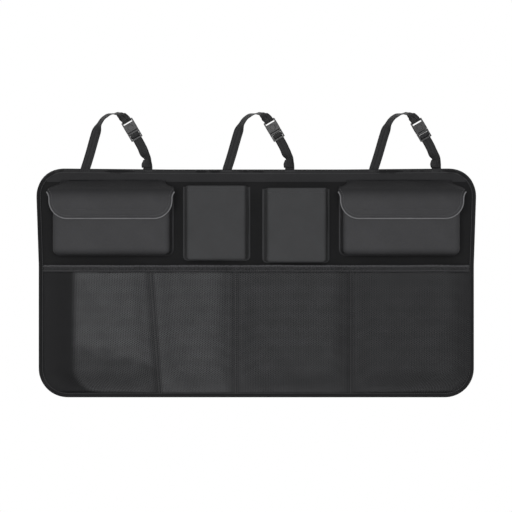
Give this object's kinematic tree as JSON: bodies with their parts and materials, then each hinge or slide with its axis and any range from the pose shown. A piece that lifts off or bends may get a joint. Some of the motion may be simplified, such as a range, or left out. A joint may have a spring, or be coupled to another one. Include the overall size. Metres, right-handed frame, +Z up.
{
  "type": "hanging car organizer",
  "caption": "Fabric back-seat organizer panel with flap, open and net pockets, hung by buckled webbing loops from headrest posts.",
  "frame": {"origin": "centre of the panel's back face, which lies against the seat back", "axes": "+Z up as hung, +X to the right seen from the front, the front and its pockets face -Y"},
  "size_m": [0.898, 0.0646, 0.5854],
  "materials": {
    "oxford_cloth": "coated black Oxford weave",
    "binding_tape": "folded black tape",
    "pocket_leather": "soft satin black coated leather cloth",
    "pocket_cloth": "matte charcoal cloth",
    "piping": "grey covered cord",
    "net": "black polyester net",
    "elastic_band": "ribbed black elastic",
    "webbing": "black polypropylene webbing",
    "buckle_plastic": "satin moulded black",
    "hook_tape": "black hook and loop tape"
  },
  "bodies": {
    "root": {"back_panel": "oxford_cloth", "edge_binding": "binding_tape", "mesh_pocket_1": "net", "mesh_pocket_2": "net", "mesh_pocket_3": "net", "mesh_pocket_4": "net", "mesh_top_band": "elastic_band", "flap_pocket_left_front": "pocket_leather", "flap_pocket_left_gusset": "pocket_leather", "flap_pocket_left_flap": "pocket_leather", "flap_pocket_left_piping": "piping", "flap_pocket_left_hook_tape": "hook_tape", "flap_pocket_left_loop_tape": "hook_tape", "flap_pocket_right_front": "pocket_leather", "flap_pocket_right_gusset": "pocket_leather", "flap_pocket_right_flap": "pocket_leather", "flap_pocket_right_piping": "piping", "flap_pocket_right_hook_tape": "hook_tape", "flap_pocket_right_loop_tape": "hook_tape", "centre_pocket_left_front": "pocket_cloth", "centre_pocket_left_gusset": "pocket_cloth", "centre_pocket_right_front": "pocket_cloth", "centre_pocket_right_gusset": "pocket_cloth", "strap_left_long_webbing": "webbing", "strap_left_short_webbing": "webbing", "strap_left_buckle_socket": "buckle_plastic", "strap_left_buckle_plug": "buckle_plastic", "strap_centre_long_webbing": "webbing", "strap_centre_short_webbing": "webbing", "strap_centre_buckle_socket": "buckle_plastic", "strap_centre_buckle_plug": "buckle_plastic", "strap_right_long_webbing": "webbing", "strap_right_short_webbing": "webbing", "strap_right_buckle_socket": "buckle_plastic", "strap_right_buckle_plug": "buckle_plastic", "back_hook_tape_left": "hook_tape", "back_hook_tape_right": "hook_tape"}
  },
  "joints": []
}
